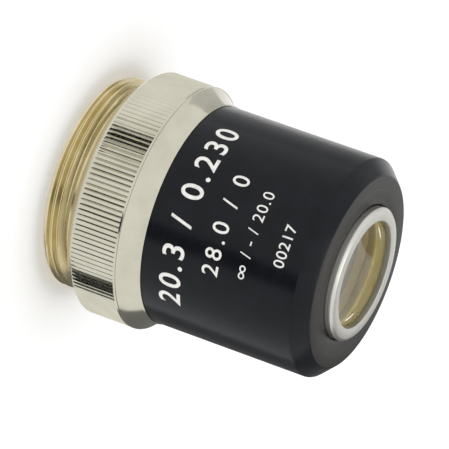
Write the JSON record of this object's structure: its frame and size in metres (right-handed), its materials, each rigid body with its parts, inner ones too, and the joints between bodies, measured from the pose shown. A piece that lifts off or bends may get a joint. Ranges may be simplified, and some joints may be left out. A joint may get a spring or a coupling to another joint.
{
  "type": "microscope objective",
  "caption": "Short long-working-distance microscope objective: brass mounting thread, nickel-plated knurled grip ring, black barrel and bright nose ring round the front lens.",
  "frame": {"origin": "centre of the mounting shoulder, on the face that seats on the nosepiece", "axes": "+Z along the optical axis from the shoulder towards the sample, so the mounting thread points to -Z; X and Y are free"},
  "size_m": [0.0234, 0.0234, 0.028],
  "materials": {
    "bare_brass": "turned, bare",
    "nickel_plate": "nickel plate on brass, polished",
    "black_anodise": "black anodised, satin",
    "inner_brass": "turned, bare",
    "fused_silica": "polished, coated",
    "blackened_brass": "blackened, matt",
    "screw_steel": "plain"
  },
  "bodies": {
    "root": {"mount_thread": "bare_brass", "grip_ring": "nickel_plate", "outer_sleeve": "black_anodise", "nose_ring": "nickel_plate", "lens_barrel": "inner_brass", "front_cell": "inner_brass", "third_cell": "inner_brass", "second_cell": "inner_brass", "rear_cell": "inner_brass", "middle_spacer": "blackened_brass", "rear_spacer": "blackened_brass", "aperture_stop": "blackened_brass", "stack_ring": "blackened_brass", "rear_lens_ring": "blackened_brass", "second_lens_ring": "blackened_brass", "third_lens_ring": "blackened_brass", "parfocal_shims": "inner_brass", "centring_screws": "screw_steel", "front_lens": "fused_silica", "third_lens": "fused_silica", "second_lens": "fused_silica", "rear_lens": "fused_silica"}
  },
  "joints": []
}
